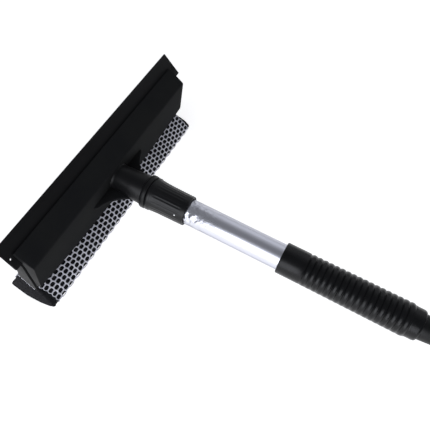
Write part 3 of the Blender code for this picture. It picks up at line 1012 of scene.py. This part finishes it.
def make_end_cap():
    """The end cap: a plug in the tube, a tail with a domed end, and a flared hang hole."""
    front = TUBE_REAR + 0.3
    body = turned([
        (228.0, 7.9), (229.0, 8.6), (front, 8.6), (front, 9.5), (front + 0.3, 9.7),
        (249.0, 9.6), (252.0, 9.35), (257.0, 8.9), (262.0, 8.55), (268.0, 8.2), (274.0, 7.85),
        (277.0, 7.6), (278.3, 7.35), (279.3, 6.95), (CAP_END - 0.15, 6.6), (CAP_END, 6.4),
    ], hollow=False)
    cap = finish_piece("end_cap_fine", body, PLASTIC, "handle", ["end_cap"])
    hole = [(0.0, 4.4), (0.155, 3.6), (0.2, 3.05), (0.8, 3.05), (0.845, 3.6), (1.0, 4.4)]
    left, right = ((reach, HANG_HOLE_STATION, 0.0) for reach in (-HOLE_REACH, HOLE_REACH))
    cut(cap, rod(left, right, hole))
    shade(cap)


def make_neck_screw():
    """The pan head under the neck, with a cross recess."""
    top = (0.0, NECK_SCREW_STATION, NECK_SCREW_HEAD)
    tip = (0.0, NECK_SCREW_STATION, NECK_SCREW_TIP)
    shape = [(0.0, 0.7), (0.01, 1.6), (0.035, 2.2), (0.08, 2.55), (0.2, 2.6), (0.2, 1.3),
             (0.9, 1.3), (1.0, 0.4)]
    screw = finish_piece("neck_screw_fine", rod(top, tip, shape), STEEL, "head",
                         ["neck_screw"])
    for half_x, half_y in ((1.5, 0.3), (0.3, 1.5)):
        size = Vector((half_x, half_y, RECESS_DEPTH)) * 2.0 * MM
        slot = bmesh.new()
        bmesh.ops.create_cube(slot, size=1.0)
        bmesh.ops.scale(slot, vec=size, verts=slot.verts)
        bmesh.ops.translate(slot, vec=place(*top), verts=slot.verts)
        cut(screw, slot)
    shade(screw)


def dress_hidden_nodes():
    """Materials for the CAD pieces that keep their own shape."""
    finishes = {"tube_bush": PLASTIC, "lock_collet": PLASTIC, "guide_plug": PLASTIC,
                "plug_ring": BLADE_RUBBER, "cap_pin": STEEL}
    for name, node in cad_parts.items():
        material = finishes.get(name) or (STEEL if name.startswith("clamp_screw") else None)
        if material:
            for slot in node.material_slots:
                slot.material = material


# ---------------------------------------------------------------- studio

def make_floor():
    """A plain pale floor, which also glows a little, as a light table does."""
    mesh_data = bmesh.new()
    bmesh.ops.create_grid(mesh_data, x_segments=1, y_segments=1, size=FLOOR_SIZE)
    mesh = bpy.data.meshes.new("floor")
    mesh_data.to_mesh(mesh)
    mesh_data.free()
    floor = bpy.data.objects.new("floor", mesh)
    floor.location.z = -FLOOR_DROP
    bpy.context.scene.collection.objects.link(floor)
    n = Nodes("floor_white")
    floor.data.materials.append(n.finish(
        Base_Color=(0.86, 0.86, 0.86, 1.0), Roughness=0.9, Specular_IOR_Level=0.1,
        Emission_Color=(1.0, 1.0, 1.0, 1.0), Emission_Strength=0.74))


def softbox(name, location, target, size, watts):
    """A rectangular light that faces its target, and that the camera doesn't see."""
    light = bpy.data.lights.new(name, "AREA")
    light.shape = "RECTANGLE"
    light.size, light.size_y = size
    light.energy = watts
    light.color = LIGHT_COLOUR
    lamp = bpy.data.objects.new(name, light)
    lamp.location = location
    lamp.rotation_euler = (Vector(target) - Vector(location)).to_track_quat("-Z", "Y").to_euler()
    lamp.visible_camera = False
    bpy.context.scene.collection.objects.link(lamp)


def make_lights():
    """Two key lights on the camera's side, two fills on the other, and an even world."""
    aim_key = (0.0, 0.0, 0.1)
    aim_fill = (0.0, 0.0, 0.05)
    softbox("key_side", (1.3, 0.0, 0.48), aim_key, size=(1.45, 0.90), watts=12.5)
    softbox("key_top", (1.22, 0.0, 1.10), aim_key, size=(1.45, 0.34), watts=1.6)
    softbox("fill_side", (-1.2, 0.1, 0.75), aim_fill, size=(2.0, 1.1), watts=3.2)
    softbox("fill_high", (-0.65, 0.1, 1.3), aim_fill, size=(2.0, 0.6), watts=0.6)
    world = bpy.data.worlds.new("studio")
    world.use_nodes = True
    back = world.node_tree.nodes["Background"]
    back.inputs["Color"].default_value = (*LIGHT_COLOUR, 1.0)
    back.inputs["Strength"].default_value = WORLD_STRENGTH
    bpy.context.scene.world = world


def make_camera():
    """Looks down on the head's end, with the handle running to the lower right."""
    data = bpy.data.cameras.new("camera")
    data.sensor_width = 36.0
    data.lens = CAMERA_LENS
    data.clip_start = 0.01
    camera = bpy.data.objects.new("camera", data)
    camera.location = place(*CAMERA_PLACE)
    camera.rotation_euler = [math.radians(angle) for angle in CAMERA_ANGLES]
    bpy.context.scene.collection.objects.link(camera)
    bpy.context.scene.camera = camera


def main():
    """Builds every piece, the studio and the camera."""
    make_cover()
    clamp = soft_copy("clamp_plate", "clamp_plate_fine", PLATE_PLASTIC, CLAMP_EDGE)
    paint_light_on_ends(clamp)
    soft_copy("rubber_blade", "blade_fine", BLADE_RUBBER, BLADE_EDGE)
    foam = make_foam()
    make_net()
    make_neck_ring()
    make_lock_sleeve()
    make_sleeve_pin()
    make_tubes()
    make_grip()
    make_end_cap()
    make_neck_screw()
    dress_hidden_nodes()
    make_floor()
    make_lights()
    make_camera()
    bpy.context.scene.view_settings.view_transform = "Standard"


main()
